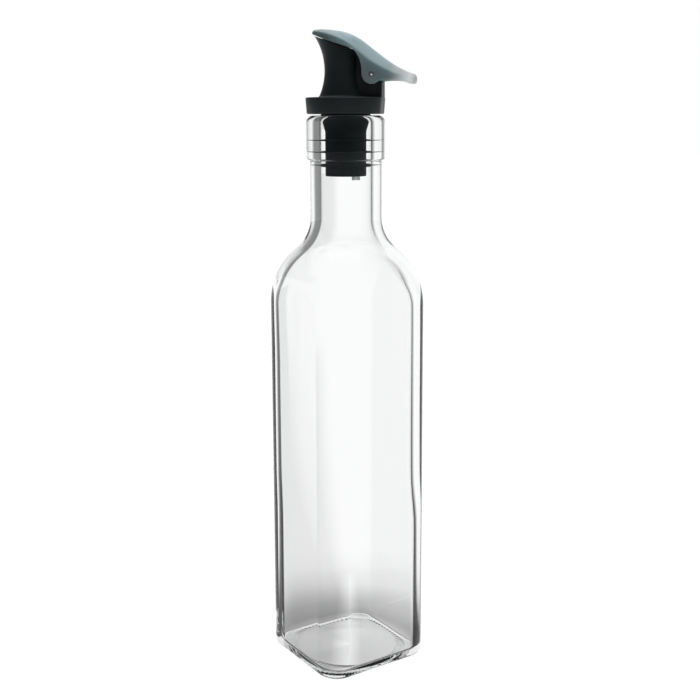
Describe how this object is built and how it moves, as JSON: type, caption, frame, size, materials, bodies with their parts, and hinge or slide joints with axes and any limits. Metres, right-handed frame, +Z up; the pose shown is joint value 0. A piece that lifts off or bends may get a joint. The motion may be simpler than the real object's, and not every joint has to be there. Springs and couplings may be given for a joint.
{
  "type": "glass oil bottle with pourer",
  "caption": "Square clear-glass oil bottle with a round neck, closed by a push-in pourer whose lever lid lifts off a sloping horn-shaped spout.",
  "frame": {"origin": "centre of the base, on the plane that the bottle stands on", "axes": "+Z up along the bottle's axis; the flats of the body face along X and Y; the lid's tail points midway between +X and -Y"},
  "size_m": [0.047, 0.047, 0.2392],
  "materials": {
    "clear_glass": "clear moulded glass, faint grey-green in thick edges",
    "black_plastic": "satin black moulding",
    "black_rubber": "matte black soft moulding",
    "grey_plastic": "smooth grey-blue moulding",
    "seal_rubber": "soft dark seal",
    "pin_steel": "bright cut wire",
    "vent_plastic": "dark extruded tube"
  },
  "bodies": {
    "bottle": {"glass_bottle": "clear_glass"},
    "bung": {"stopper_bung": "black_rubber"},
    "pourer": {"spout_body": "black_plastic", "vent_tube": "vent_plastic", "hinge_pin": "pin_steel"},
    "lid": {"flip_lid": "grey_plastic", "lid_seal": "seal_rubber"}
  },
  "joints": [
    {"name": "pourer_pull", "type": "slide", "parent": "bottle", "child": "bung", "axis": [0, 0, 1], "range_m": [0, 0.034]},
    {"name": "pourer_twist", "type": "hinge", "parent": "bung", "child": "pourer", "pos_m": [0, 0, 0.2], "axis": [0, 0, 1], "continuous": true},
    {"name": "lid_pivot", "type": "hinge", "parent": "pourer", "child": "lid", "pos_m": [0.00735, -0.00735, 0.2233], "axis": [0.7071, 0.7071, 0], "range_deg": [0, 45]}
  ]
}
